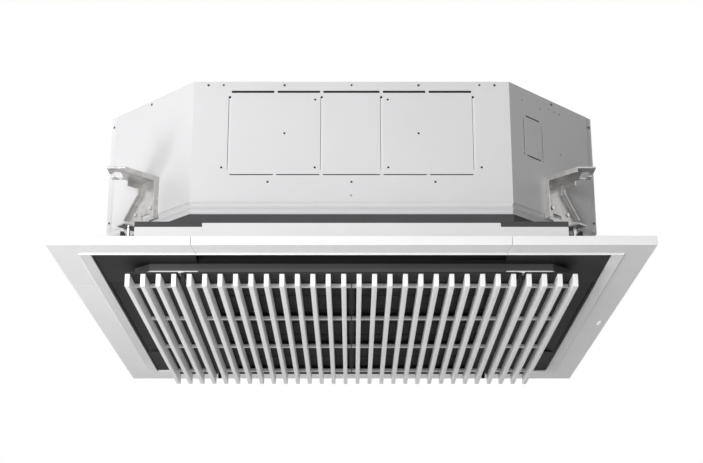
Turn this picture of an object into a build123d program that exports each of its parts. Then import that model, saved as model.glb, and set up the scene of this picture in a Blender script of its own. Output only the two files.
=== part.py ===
from build123d import *
import math
import os

# Ceiling cassette air conditioner, millimetres, +Z up.
# z = 0 is the underside of the ceiling, and the origin is the middle of the ceiling cut-out.
# -Y is the front of the picture, +X is its right.

# ---------------------------------------------------------------- driving dimensions
# trim panel below the ceiling
panel_overhang = 55.0
panel_depth = 15.0
trim_width = 60.0
trim_wall = 2.5
trim_flange = 12.0
flange_thickness = 2.0
bead_width = 17.0
bead_drop = 2.4
bead_lead = 1.5
bead_rise = 4.8
cover_length = 225.0
seam_gap = 0.6
seam_slant = 5.0
tray_recess = 5.5
tray_thickness = 2.5
tray_margin = 2.5
tray_rib = 5.0

# intake drum and the four air outlets round it
drum_chamfer = 28.0
drum_wall = 3.0
drum_drop = 11.0
rim_drop = 5.5
rim_height = 9.5
rim_thickness = 2.0
outlet_end = 170.0
outlet_width = 51.5
outlet_rim = 2.5
outlet_border = 4.0
collar_wall = 2.0
collar_height = 42.0
ring_depth = 12.0
ring_side = 32.0

# duct block between the panel and the body
duct_height = 40.0
duct_corner_step = 6.7
duct_land_length = 181.0
duct_notch = 73.0
duct_land = 39.0
motor_bay = 26.0
seal_rise = 8.7
seal_width = 22.0

# slatted grille
grille_overlap = 10.5
grille_gap = 5.8
plate_thickness = 3.0
slat_pitch = 25.0
slat_width = 8.0
slat_height = 21.3
wing_slats = 4
rail_width = 8.0
rail_height = 5.5
rail_drop = 1.7
rail_end = 55.0
rail_count = 4
rail_stub = 5.0
centre_gap = 1.3
centre_inset = 3.5
wing_gap = 3.0
frame_side = 21.5
frame_bar = 8.0
boss_radius = 6.0

# grille hinge and latches
hinge_setback = 1.5
pin_radius = 2.0
knuckle_radius = 4.5
knuckle_length = 4.5
block_width = 6.5
block_depth = 14.5
block_drop = 29.5
block_nose = 6.0
latch_width = 6.0
latch_length = 16.0
latch_height = 13.5
latch_travel = 5.0
latch_stem = 3.0
latch_cap = 1.2
ear_length = 24.0
latch_setback = 4.0

# filter
filter_margin = 6.0
filter_clearance = 4.0
filter_thickness = 2.0
filter_rim = 8.0
filter_columns = 6
filter_rows = 7
filter_strand = 2.0

# louvre vanes
vane_thickness = 3.0
vane_sag = 4.0
vane_clearance = 1.5
vane_open_angle = 75.0
vane_pivot_in = 6.5
vane_pivot_up = 3.0
axle_radius = 2.5
axle_length = 10.0
vane_lug_radius = 5.0
vane_lug_width = 3.0
vane_motor_length = 19.0
vane_motor_width = 28.0
vane_motor_height = 24.0

# body casing
body_size = 840.0
body_chamfer = 160.0
gasket_height = 14.5
gasket_width = 9.0
casing_wall = 1.2
swage_depth = 1.8
swage_levels = [4.0, 8.6, 14.6, 20.1]
seam_from_corner = 14.5
lid_flange = 14.0
lid_bead = 3.0
lid_bead_width = 26.0
lid_bead_length = 520.0

# knock-outs pressed in the casing
knockout_width = 98.0
knockout_wide = 151.0
knockout_drop = 18.0
knockout_bottom = 67.7
knockout_margin = 9.5
slot_width = 3.0
top_slot_width = 4.0
low_slot_width = 1.8
side_slot_width = 2.4
slot_bridge = 5.5
groove_depth = 0.6
keyhole_radius = 2.2
side_knockout_height = 70.0
side_knockout_width = 49.0
side_knockout_offset = 52.5
side_knockout_bottom = 127.5

# casing screws
seam_screw_rise = 36.6
seam_screw_drop = 17.9
seam_screw_radius = 2.2
screw_sides = 6
seam_screw_head = 1.0
lid_screw_drop = 6.6
lid_screw_inset = 24.0
lid_screw_pitch = 125.5

# hangers
hanger_sheet = 3.0
hanger_level = 140.0
head_inset_y = 10.0
head_inset_x = 22.0
head_length = 55.0
hanger_near = 30.0
hanger_far = 16.0
slot_inset_x = 35.0
slot_inset_y = 45.0
hang_slot_width = 14.0
hang_slot_length = 35.0
cheek_depth = 10.0
lip_drop_near = 6.0
lip_drop_far = 9.0
lip_far_length = 32.0
plate_bottom = 68.0
plate_shoulder = 120.0
plate_knee = 82.0
plate_spread = 53.0
plate_toe = 60.0
foot_level = 50.0
foot_end = 16.6
foot_half_width = 10.0
hanger_slot_length = 22.0
hanger_slot_height = 6.0
hanger_screw_radius = 3.5
hanger_screw_head = 2.5
hanger_screws_at = [(14.0, 89.0), (-27.0, 86.0), (19.0, 126.0)]
bolt_inset = 55.0
panel_bolt_radius = 3.0
panel_bolt_head = 5.0
panel_bolt_head_height = 4.5
panel_washer_radius = 5.0
panel_washer_height = 6.0
guide_size = 18.0
guide_wall = 6.5
guide_height = 47.0
guide_relief = 12.0

# heat exchanger, pan and fan
liner_thickness = 8.0
pan_height = 45.5
pan_floor = 18.0
channel_margin = 2.0
channel_setback = 12.0
coil_setback = 98.0
coil_depth = 40.0
coil_corner = 60.0
coil_gap = 112.0
coil_clearance = 1.5
tube_radius = 4.0
tube_bend_radius = 9.5
tube_pairs = 5
header_radius = 9.0
pan_land = 10.0
bell_land = 55.0
bell_sheet = 2.5
bell_flare = 37.0
inlet_gap = 3.5
inlet_overlap = 2.5
fan_radius = 215.0
fan_inlet_radius = 164.0
fan_bottom = 94.0
fan_shroud_height = 34.0
fan_height = 130.0
fan_sheet = 2.5
fan_blades = 7
blade_thickness = 4.0
blade_gap = 46.0
blade_arc_radius = 150.0
hub_radius = 82.0
hub_drop = 66.0
motor_radius = 62.0
motor_clearance = 9.0
motor_height = 84.0
shaft_radius = 5.0
nut_radius = 10.0
nut_height = 7.0
bush_radius = 9.0
bush_height = 12.0
mount_size = 190.0
mount_leg = 24.0
mount_drop = 19.3

# services
control_length = 250.0
control_width = 100.0
control_height = 38.0
control_wall = 1.5
control_setback = 13.0
terminal_count = 6
terminal_width = 24.0
terminal_height = 10.0
gas_radius = 7.94
liquid_radius = 4.76
drain_radius = 13.0
pipe_bore = 1.0
stub_length = 45.0
gas_at = (150.0, 130.0)
liquid_at = (110.0, 130.0)
drain_level = 150.0
drain_offset = 15.0
pipe_collar = 6.0
nut_ratio = 1.6
pump_setback = 67.0
pump_radius = 26.0
pump_can_radius = 21.0
pump_height = 78.0
float_radius = 10.0
float_height = 12.0
float_stem = 2.0

# indicator lens
lens_length = 28.0
lens_width = 4.0
lens_from_edge = 13.5
lens_depth = 3.0
lens_proud = 0.5

# named fits
fit = 0.3
running = 0.05
press = 0.02

# ---------------------------------------------------------------- levels and reaches
body_half = body_size / 2
panel_half = body_half + panel_overhang
opening_half = panel_half - trim_width
face_z = -panel_depth
tray_z = face_z + tray_recess
tray_top = tray_z + tray_thickness
outlet_out = opening_half - outlet_border
outlet_in = outlet_out - outlet_width
outlet_half = body_half - outlet_end
drum_half = outlet_in - outlet_rim
drum_z = tray_z - drum_drop
rim_z = drum_z - rim_drop
duct_half = drum_half - duct_land
duct_step_at = body_half - duct_land_length
plate_top = drum_z - grille_gap
plate_z = plate_top - plate_thickness
slat_z = plate_z - slat_height
grille_half = drum_half + grille_overlap
slat_count = 2 * int((grille_half - slat_width / 2) / slat_pitch + 0.5)
rail_spacing = 2 * (grille_half - rail_end) / (rail_count - 1)
centre_half = (slat_count / 2 - wing_slats) * slat_pitch - centre_inset
wing_inner = centre_half + wing_gap
ring_z = plate_top + latch_cap + 2 * fit
ring_half_y = drum_half - drum_wall - ring_side
filter_half_y = ring_half_y - filter_clearance
frame_half_y = filter_half_y - filter_margin
frame_half_x = centre_half - frame_side
filter_half_x = frame_half_x + filter_margin
ring_half_x = filter_half_x + filter_clearance
hinge_y = grille_half - hinge_setback
hinge_z = (plate_top + plate_z) / 2
pivot_u = outlet_in + vane_pivot_in
pivot_z = tray_z + vane_thickness + vane_pivot_up

casing_z = duct_height + gasket_height
dish_z = fan_bottom + fan_height - hub_drop
motor_z = dish_z + fan_sheet + motor_clearance
bush_z = motor_z + motor_height
lid_z = bush_z + bush_height + mount_drop
casing_top = lid_z + casing_wall
liner_z = lid_z - liner_thickness
pan_top = casing_z + pan_height
coil_z = casing_z + pan_floor
coil_half = body_half - coil_setback
coil_gap_at = coil_half - coil_gap
pump_at = coil_half - pump_setback
drain_at = (pump_at - drain_offset, drain_level)
blade_inner = fan_inlet_radius - blade_gap
bell_throat_radius = fan_inlet_radius - inlet_gap - bell_sheet
bell_mouth_radius = bell_throat_radius + bell_flare
bell_height = fan_bottom + inlet_overlap - casing_z
pan_opening_radius = bell_mouth_radius + pan_land
bell_half = pan_opening_radius + bell_land
control_from = duct_half - control_setback - control_width

chamfer_middle = body_half - body_chamfer / 2
head_y = body_half - head_inset_y
head_x = body_half - head_inset_x
head_back = head_y - head_length
slot_at = (body_half - slot_inset_x, body_half - slot_inset_y)
panel_bolt_at = body_half - bolt_inset
foot_reach = (panel_bolt_at - chamfer_middle) * math.sqrt(2) + foot_end
side_names = ["front", "right", "rear", "left"]


# ---------------------------------------------------------------- helpers
def block(x0, x1, y0, y1, z0, z1):
    centre = Pos((x0 + x1) / 2, (y0 + y1) / 2, (z0 + z1) / 2)
    return centre * Box(x1 - x0, y1 - y0, z1 - z0)


def rod(radius, z0, z1, x=0.0, y=0.0):
    return Pos(x, y, (z0 + z1) / 2) * Cylinder(radius, z1 - z0)


def rod_x(radius, x0, x1, y, z):
    return Pos((x0 + x1) / 2, y, z) * Rot(0, 90, 0) * Cylinder(radius, x1 - x0)


def rod_y(radius, y0, y1, x, z):
    return Pos(x, (y0 + y1) / 2, z) * Rot(90, 0, 0) * Cylinder(radius, y1 - y0)


def stud(radius, length):
    """A many-sided screw head on the plane x = 0, standing out along +X."""
    return extrude(Plane.YZ * RegularPolygon(radius, screw_sides), amount=length)


def peg(radius, z0, z1, x=0.0, y=0.0):
    """An upright many-sided rod."""
    return Pos(x, y, z0) * extrude(RegularPolygon(radius, screw_sides), amount=z1 - z0)


def peg_y(radius, y0, y1, x, z):
    """A many-sided rod along Y."""
    return Pos(x, y1, z) * Rot(90, 0, 0) * peg(radius, 0, y1 - y0)


def round_fit(radius):
    """Reach of a many-sided hole that clears a round of this radius."""
    return radius / math.cos(math.pi / screw_sides)


def square(half, z0, z1):
    return block(-half, half, -half, half, z0, z1)


def prism(points, z0, z1):
    """An upright prism on a plan outline."""
    return Pos(0, 0, z0) * extrude(make_face(Polyline(*points, close=True)), amount=z1 - z0)


def octagon(half, leg, inset=0.0):
    """Plan outline of a square with cut corners, drawn in by an even inset."""
    h = half - inset
    c = h - leg + inset * (2 - math.sqrt(2))
    return [(-h, -c), (-c, -h), (c, -h), (h, -c), (h, c), (c, h), (-c, h), (-h, c)]


def side_prism(profile, length):
    """A profile drawn in (distance from the middle, height), run along the front side."""
    outline = make_face(Polyline(*[(-u, z) for u, z in profile], close=True))
    return extrude(Plane.YZ * outline, amount=length / 2, both=True)


def turned(shape, quarter):
    return Rot(0, 0, 90 * quarter) * shape


def four(shape):
    return [turned(shape, quarter) for quarter in range(4)]


def corners(shape):
    """A front left piece and its mirrored copies at the other three corners."""
    right = mirror(shape, Plane.YZ)
    return {
        "front_left": shape,
        "front_right": right,
        "rear_left": mirror(shape, Plane.XZ),
        "rear_right": mirror(right, Plane.XZ),
    }


def group(shapes):
    return Compound([solid for shape in shapes for solid in shape.solids()])


def save(name, shape):
    export_step(shape, "parts/" + name + ".step")


# ---------------------------------------------------------------- trim panel
def trim_side():
    """One mitred side of the white trim, with its sloped bead and its back flange."""
    h = panel_half
    bead_out = opening_half + bead_width
    bead_z = face_z - bead_drop
    lip_z = bead_z + bead_rise
    profile = [
        (h, face_z), (h, 0), (h - trim_flange, 0), (h - trim_flange, -flange_thickness),
        (h - trim_wall, -flange_thickness), (h - trim_wall, face_z + trim_wall),
        (bead_out, face_z + trim_wall), (opening_half + trim_wall, lip_z + trim_wall),
        (opening_half + trim_wall, tray_z), (opening_half, tray_z), (opening_half, lip_z),
        (bead_out - bead_lead, bead_z), (bead_out, face_z),
    ]
    reach = h + 1
    wedge = prism([(0, 0), (-reach, -reach), (reach, -reach)], bead_z - 1, 1)
    return side_prism(profile, 2 * panel_half) & wedge


def seam_at(offset):
    """Ends of the seam in a trim side, at its outer and its inner edge, moved along by an offset."""
    x = panel_half - cover_length + offset
    return (x, -panel_half), (x - seam_slant, -opening_half)


def trim_strip(side):
    outer, inner = seam_at(-seam_gap / 2)
    plan = [(-outer[0], outer[1]), outer, inner, (-inner[0], inner[1])]
    return side & prism(plan, face_z - bead_drop, 0)


def corner_cover(side):
    outer, inner = seam_at(seam_gap / 2)
    plan = [(-panel_half, -panel_half), (-outer[0], outer[1]), (-inner[0], inner[1]),
            (-panel_half, -opening_half)]
    arm = side & prism(plan, face_z - bead_drop, 0)
    other = mirror(arm, Plane(origin=(0, 0, 0), z_dir=(1, -1, 0)))
    return arm + other


def indicator_cut(clearance):
    at = Pos(panel_half - lens_from_edge, 0, face_z)
    plan = SlotOverall(lens_length + 2 * clearance, lens_width + 2 * clearance, rotation=90)
    return at * extrude(plan, amount=lens_depth + clearance) + at * extrude(plan, amount=-lens_proud)


def panel_tray():
    """Dark tray behind the trim, with four collared outlets and the hole for the drum."""
    edge = panel_half - trim_wall - tray_margin
    tray = square(edge, tray_z, tray_top)
    rib = square(edge, tray_top, tray_top + tray_rib)
    rib -= square(edge - collar_wall, tray_top, tray_top + tray_rib)
    tray += rib
    collar = block(-outlet_half - collar_wall, outlet_half + collar_wall,
                   -outlet_out - collar_wall, -outlet_in + collar_wall, tray_top, tray_z + collar_height)
    for part in four(collar):
        tray += part
    tray -= prism(octagon(drum_half, drum_chamfer, -fit), tray_z, tray_z + collar_height)
    hole = block(-outlet_half, outlet_half, -outlet_out, -outlet_in, tray_z, tray_z + collar_height)
    span = outlet_half + collar_wall
    bearing = Pos(-span, -pivot_u, pivot_z) * stud(round_fit(axle_radius + running), 2 * span)
    for part in four(hole) + four(bearing):
        tray -= part
    for guide in corners(bolt_guide()).values():
        tray += guide
    at = -panel_bolt_at
    bolt = peg(panel_bolt_radius + fit, tray_z, tray_top + guide_height, at, at)
    bolt += peg(panel_bolt_head + fit, tray_z, tray_z + panel_bolt_head_height, at, at)
    for part in corners(bolt).values():
        tray -= part
    return tray


def drum_flange(reach, height):
    """Plan of the drum grown by its flange, standing on the tray."""
    return prism(octagon(drum_half, drum_chamfer, -reach), tray_top, tray_top + height)


def intake_drum():
    """Octagonal wall round the intake; its rim stands proud beside each outlet."""
    wall = prism(octagon(drum_half, drum_chamfer), drum_z, tray_top)
    rim = block(-outlet_half, outlet_half, -drum_half - rim_thickness, -drum_half + drum_wall,
                rim_z, rim_z + rim_height)
    for part in four(rim):
        wall += part
    flange = drum_flange(outlet_rim, drum_wall)
    motor_end = outlet_half + collar_wall + vane_motor_length + fit
    slot = block(-motor_end, motor_end, -drum_half - outlet_rim, -drum_half + drum_wall,
                 tray_top, tray_top + drum_wall)
    for part in four(slot):
        flange -= part
    wall += flange
    return wall - prism(octagon(drum_half, drum_chamfer, drum_wall), rim_z, tray_top + drum_wall)


def intake_ring():
    """White ring inside the drum that the filter frame closes against."""
    ring = prism(octagon(drum_half, drum_chamfer, drum_wall), ring_z, ring_z + ring_depth)
    return ring - block(-ring_half_x, ring_half_x, -ring_half_y, ring_half_y, ring_z, ring_z + ring_depth)


def duct_block():
    """White foam block that carries air between the panel and the body."""
    wide = body_half
    narrow = body_half - duct_notch
    top = duct_height
    shape = block(-narrow, narrow, -wide, wide, tray_top, top)
    shape += block(-wide, wide, -narrow, narrow, tray_top, top)
    step = block(-wide, -duct_step_at, -wide, -duct_step_at, top - duct_corner_step, top)
    for part in four(step):
        shape -= part
    shape -= square(duct_half, tray_top, top)
    hole = block(-outlet_half - motor_bay, outlet_half + motor_bay,
                 -outlet_out - collar_wall - fit, -duct_half, tray_top, top)
    for part in four(hole):
        shape -= part
    return shape - drum_flange(outlet_rim + fit, drum_wall + fit)


def panel_seal():
    """Dark foam angle on each corner land, notched to let the body sit in it."""
    wide = body_half
    narrow = body_half - duct_notch
    low = duct_height - duct_corner_step
    arm = block(-narrow, -duct_step_at, -wide, -wide + seal_width, low, low + seal_rise)
    arm -= prism(octagon(body_half, body_chamfer, -fit), duct_height - fit, low + seal_rise)
    other = mirror(arm, Plane(origin=(0, 0, 0), z_dir=(1, -1, 0)))
    return group(four(arm) + four(other))


def panel_bolt():
    """Screw sunk in the tray, with a conical washer, that draws the panel up to the hanger foot."""
    head = peg(panel_bolt_head, tray_z, tray_z + panel_bolt_head_height)
    shank = peg(panel_bolt_radius, tray_z, foot_level + hanger_sheet + fit)
    low = tray_top + guide_height - guide_relief
    wide = RegularPolygon(panel_washer_radius, screw_sides)
    narrow = RegularPolygon((panel_washer_radius + panel_bolt_radius) / 2, screw_sides)
    washer = loft([Pos(0, 0, low) * wide, Pos(0, 0, low + panel_washer_height) * narrow])
    return Pos(-panel_bolt_at, -panel_bolt_at, 0) * (head + shank + washer)


def bolt_guide():
    """Plastic guide moulded on the tray that keeps each panel screw captive."""
    near = panel_bolt_at - guide_wall
    far = near + guide_size
    shape = block(-far, -near, -far, -near, tray_top, tray_top + guide_height)
    top = tray_top + guide_height
    relief = block(-far, -near, -far, -near, top - guide_relief, top)
    wall = panel_bolt_at + panel_washer_radius + fit
    relief -= block(-far, -wall, -far, -near, top - guide_relief, top)
    return shape - relief


def vane():
    """Curved blade on two stub axles, lying shut in the front outlet."""
    inner = outlet_in + vane_clearance
    outer = outlet_out - vane_clearance
    middle = (inner + outer) / 2
    low = tray_z
    high = low + vane_thickness
    under = ThreePointArc((-outer, low), (-middle, low + vane_sag), (-inner, low))
    over = ThreePointArc((-outer, high), (-middle, high + vane_sag), (-inner, high))
    edges = [under, Line((-inner, low), (-inner, high)), over, Line((-outer, high), (-outer, low))]
    blade = extrude(Plane.YZ * make_face(edges), amount=outlet_half - vane_clearance, both=True)
    shape = blade
    for end in (-1, 1):
        face = end * (outlet_half - vane_clearance)
        start = min(face, face - end * vane_lug_width)
        lug = Pos(start, -pivot_u, pivot_z) * stud(vane_lug_radius, vane_lug_width)
        reach = axle_length if end > 0 else axle_length / 2
        axle = rod_x(axle_radius, *sorted((face, face + end * reach)), -pivot_u, pivot_z)
        shape += lug + axle
    return shape


def opened(blade):
    """The front blade turned up about its axles to its open place."""
    pivot = Pos(0, -pivot_u, pivot_z)
    return pivot * Rot(-vane_open_angle, 0, 0) * Pos(0, pivot_u, -pivot_z) * blade


def vane_motor():
    """Small geared stepper beside the outlet, with the vane axle in its socket."""
    start = outlet_half + collar_wall
    case = block(start, start + vane_motor_length, -pivot_u - vane_motor_width / 2,
                 -pivot_u + vane_motor_width / 2, tray_top, tray_top + vane_motor_height)
    case = chamfer(case.edges().filter_by(Axis.X).sort_by(Axis.Z)[-2:], vane_motor_height / 4)
    depth = axle_length - vane_clearance - collar_wall + fit
    return case - Pos(start, -pivot_u, pivot_z) * stud(round_fit(axle_radius + running), depth)


# ---------------------------------------------------------------- slatted grille
def slat_x(index):
    return (index - (slat_count - 1) / 2) * slat_pitch


def slats(first, last, stub_left, stub_right):
    """Slats from first to last on their cross rails; a rail end may stand past its slat."""
    low = slat_x(first) - slat_width / 2
    high = slat_x(last) + slat_width / 2
    shape = None
    for index in range(first, last + 1):
        x = slat_x(index)
        slat = block(x - slat_width / 2, x + slat_width / 2, -grille_half, grille_half, slat_z, plate_z)
        shape = slat if shape is None else shape + slat
    for row in range(rail_count):
        y = (row - (rail_count - 1) / 2) * rail_spacing
        shape += block(low - stub_left, high + stub_right, y - rail_width / 2, y + rail_width / 2,
                       plate_z - rail_drop - rail_height, plate_z - rail_drop)
    return shape


def rail_overhang():
    """How far a centre rail runs past its middle slat, up to the seam at x = 0."""
    return slat_pitch / 2 - slat_width / 2 - centre_gap / 2


def wing_plate():
    """Fixed dark plate of the left wing, notched for the hinge block and the latch."""
    plate = block(-grille_half, -wing_inner, -grille_half, grille_half, plate_z, plate_top)
    gap = centre_half + wing_gap / 2 + block_width + wing_gap / 2
    plate -= block(-gap, -wing_inner, drum_half - wing_gap, grille_half, plate_z, plate_top)
    plate -= block(-gap, -wing_inner, -grille_half, -grille_half + latch_setback + ear_length + wing_gap,
                   plate_z, plate_top)
    across = (ring_half_x + drum_half) / 2
    along = drum_half - drum_chamfer - drum_wall - boss_radius
    for y in (-along, along):
        plate += peg(boss_radius, plate_top, ring_z, -across, y)
    return plate


def grille_frame():
    """Hinged dark frame with the intake opening, hinge knuckles and latch ears."""
    frame = block(-centre_half, centre_half, -grille_half, grille_half, plate_z, plate_top)
    frame -= block(-frame_half_x, frame_half_x, -frame_half_y, frame_half_y, plate_z, plate_top)
    frame += block(-frame_bar / 2, frame_bar / 2, -frame_half_y, frame_half_y, plate_z, plate_top)
    for y in (-rail_spacing / 2, rail_spacing / 2):
        frame += block(-frame_half_x, frame_half_x, y - frame_bar / 2, y + frame_bar / 2, plate_z, plate_top)
    for end in (-1, 1):
        low, high = sorted((end * centre_half, end * (centre_half - knuckle_length)))
        frame += rod_x(knuckle_radius, low, high, hinge_y, hinge_z)
        low, high = sorted((end * (centre_half - knuckle_length), end * (latch_centre() + latch_width / 2)))
        ear_start = -grille_half + latch_setback
        frame += block(low, high, ear_start, ear_start + ear_length, plate_z, plate_top)
    for end in (-1, 1):
        low, high = sorted((end * centre_half, end * (centre_half - knuckle_length)))
        frame -= rod_x(pin_radius + running, low, high, hinge_y, hinge_z)
        low, high = sorted((end * (latch_centre() - latch_stem / 2 - fit),
                            end * (latch_centre() + latch_stem / 2 + fit)))
        start = latch_stem_y() - fit
        frame -= block(low, high, start, start + latch_stem + latch_travel + 2 * fit, plate_z, plate_top)
    return frame


def latch_centre():
    return centre_half - 1 + latch_width / 2


def latch_stem_y():
    return -grille_half + latch_setback + latch_length / 2 - latch_stem


def latch():
    """Sliding catch under the right ear, its stem up through the slot in the ear."""
    x = latch_centre()
    start = -grille_half + latch_setback + fit
    top = plate_z - fit
    body = block(x - latch_width / 2, x + latch_width / 2, start, start + latch_length,
                 top - latch_height, top)
    front = body.edges().filter_by(Axis.X).sort_by(lambda edge: edge.center().Y + edge.center().Z)[0]
    body = chamfer(front, latch_width / 2)
    stem = block(x - latch_stem / 2, x + latch_stem / 2, latch_stem_y(), latch_stem_y() + latch_stem,
                 top, plate_top + fit)
    cap = block(x - latch_width / 2, x + latch_width / 2, latch_stem_y() - latch_stem / 2,
                latch_stem_y() + latch_stem * 3 / 2, plate_top + fit, plate_top + fit + latch_cap)
    return body + stem + cap


def hinge_block():
    """Black block that hangs from the tray behind the drum and holds the right hinge pin."""
    near = centre_half + wing_gap / 2
    far = near + block_width
    back = drum_half + block_depth
    low = tray_z - block_drop
    profile = [(drum_half, tray_z), (back, tray_z), (back, low + block_nose),
               (back - block_nose, low), (drum_half + block_nose / 2, low), (drum_half, low + block_nose)]
    body = extrude(Plane.YZ * make_face(Polyline(*profile, close=True)), amount=far - near)
    pin = rod_x(pin_radius, centre_half - knuckle_length + fit, near, hinge_y, hinge_z)
    return Pos(near, 0, 0) * body + pin


def air_filter():
    """Flat washable net, one holed sheet."""
    half_x = filter_half_x
    half_y = filter_half_y
    net = Rectangle(2 * half_x, 2 * half_y)
    step_x = (2 * half_x - 2 * filter_rim + filter_strand) / filter_columns
    step_y = (2 * half_y - 2 * filter_rim + filter_strand) / filter_rows
    net -= GridLocations(step_x, step_y, filter_columns, filter_rows) * Rectangle(
        step_x - filter_strand, step_y - filter_strand)
    return Pos(0, 0, plate_top) * extrude(net, amount=filter_thickness)


# ---------------------------------------------------------------- body casing
def swaged(inset):
    """Octagonal body with two pressed swages round its foot, all drawn in by an even inset."""
    low, first, second, third = [casing_z + level for level in swage_levels]
    stations = [(casing_z, 0), (low, swage_depth), (first, 0), (second, swage_depth), (third, 0)]
    shape = prism(octagon(body_half, body_chamfer, inset), third, casing_top)
    levels = []
    for z, depth in stations:
        outline = octagon(body_half, body_chamfer, inset + depth)
        levels.append(Pos(0, 0, z) * make_face(Polyline(*outline, close=True)))
    for lower, upper in zip(levels, levels[1:]):
        shape += loft([lower, upper], ruled=True)
    return shape


def casing_sheets():
    """The sheet wrap in four pieces, each side panel lapping round onto the chamfers."""
    sheet = swaged(0) - swaged(casing_wall)
    lap = seam_from_corner / math.sqrt(2)
    apex = body_chamfer - 2 * lap
    inner = apex - seam_gap
    reach = body_size
    side = prism([(apex, 0), (apex + reach, -reach), (apex + reach, reach)], casing_z, casing_top)
    front = prism([(inner, 0), (-inner, 0), (-inner - reach, -reach), (inner + reach, -reach)],
                  casing_z, casing_top)
    right = sheet & side
    first = sheet & front
    rear = mirror(first, Plane.XZ)
    return {"front": first, "rear": rear, "right": right, "left": mirror(right, Plane.YZ)}


def front_knockouts():
    """Long slots and pressed grooves round the three duct knock-outs of the front face."""
    wall = -body_half
    cuts = []
    edges = [-knockout_width / 2 - knockout_wide, -knockout_width / 2, knockout_width / 2,
             knockout_width / 2 + knockout_wide]
    top = casing_top - knockout_drop
    bottom = casing_z + knockout_bottom
    for x in edges:
        cuts.append(block(x - slot_width / 2, x + slot_width / 2, wall, wall + groove_depth,
                          bottom + slot_bridge, top - knockout_margin))
        cuts.append(peg_y(keyhole_radius, wall, wall + casing_wall, x, top - knockout_margin))
    spans = []
    for left, right in zip(edges, edges[1:]):
        pieces = 1 if right - left < knockout_wide else 2
        length = (right - left) / pieces
        spans += [(left + k * length, left + (k + 1) * length) for k in range(pieces)]
    for left, right in spans:
        for level, width in ((top, top_slot_width), (bottom, low_slot_width)):
            cuts.append(block(left + slot_bridge / 2, right - slot_bridge / 2, wall, wall + casing_wall,
                              level - width / 2, level + width / 2))
    return cuts


def on_front_right_chamfer(shape):
    """Places a piece drawn on the plane x = 0, with +X outwards, on the front right chamfer."""
    return Pos(chamfer_middle, -chamfer_middle, 0) * Rot(0, 0, -45) * shape


def chamfer_knockout():
    """Small square knock-out towards the front of the right chamfer."""
    low = casing_z + side_knockout_bottom - gasket_height
    high = low + side_knockout_height
    start = -side_knockout_offset - side_knockout_width / 2
    end = start + side_knockout_width
    cuts = []
    for z in (low, high):
        cuts.append(block(-casing_wall, 0, start + slot_bridge, end - slot_bridge,
                          z - side_slot_width / 2, z + side_slot_width / 2))
    for y in (start, end):
        cuts.append(block(-casing_wall, 0, y - side_slot_width / 2, y + side_slot_width / 2,
                          low + slot_bridge, high - slot_bridge))
    return [on_front_right_chamfer(cut) for cut in cuts]


def casing_lid():
    """Top sheet with a turned-down flange and two crossed raised beads."""
    outer = octagon(body_half, body_chamfer, casing_wall)
    inner = octagon(body_half, body_chamfer, 2 * casing_wall)
    lid = prism(outer, lid_z - lid_flange, casing_top) - prism(inner, lid_z - lid_flange, lid_z)
    for angle in (45, 135):
        plan = SlotOverall(lid_bead_length, lid_bead_width)
        lid += Pos(0, 0, casing_top) * Rot(0, 0, angle) * extrude(plan, amount=lid_bead)
    return lid


def seam_screws():
    """Screws down the four casing seams and round the lid flange, heads proud of the sheet."""
    heads = []
    lap = seam_from_corner / math.sqrt(2)
    seam = (body_half - lap / 2, body_half - body_chamfer + lap / 2)
    places = [(*seam, casing_z + seam_screw_rise), (*seam, casing_top - seam_screw_drop)]
    places.append((chamfer_middle, chamfer_middle, casing_top - lid_screw_drop))
    head = stud(seam_screw_radius, seam_screw_head)
    for x, y, z in places:
        heads += corners(Pos(-x, -y, z) * Rot(0, 0, 225) * head).values()
    last = body_half - body_chamfer - lid_screw_inset
    for x in (last, last - lid_screw_pitch):
        for end in (-1, 1):
            place = Pos(end * x, -body_half, casing_top - lid_screw_drop)
            heads += four(place * Rot(0, 0, -90) * head)
    return heads


def liner():
    """Thin foam lining of the casing walls and lid, open round the motor mount."""
    outer = octagon(body_half, body_chamfer, 2 * casing_wall)
    inner = octagon(body_half, body_chamfer, 2 * casing_wall + liner_thickness)
    shape = prism(outer, pan_top, lid_z) - prism(inner, pan_top, liner_z)
    return shape - square(mount_size / 2 + fit, liner_z, lid_z)


# ---------------------------------------------------------------- hangers
def hanger():
    """Front left hanger, one bent sheet: head, neck, base plate, cheek, lips and foot."""
    low = hanger_level - hanger_sheet
    shape = bracket_place(hanger_sheets())
    slot = SlotOverall(hang_slot_length, hang_slot_width, rotation=90)
    slot += Pos(-hang_slot_width, 0) * Rectangle(2 * hang_slot_width, hang_slot_width)
    shape -= Pos(-slot_at[0], -slot_at[1], low) * extrude(slot, amount=hanger_sheet)
    at = -panel_bolt_at
    return shape - peg(panel_bolt_radius + fit, foot_level, foot_level + hanger_sheet, at, at)


def to_bracket(x, y):
    """Plan point in the bracket's own axes: out from the chamfer, and along it to the front."""
    dx = x + chamfer_middle
    dy = y + chamfer_middle
    return (-(dx + dy) / math.sqrt(2), (dx - dy) / math.sqrt(2))


def bracket_place(shape):
    """Moves a sheet drawn on the plane x = 0, +X outwards, on to the front left chamfer."""
    return Pos(-chamfer_middle, -chamfer_middle, 0) * Rot(0, 0, 225) * shape


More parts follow.
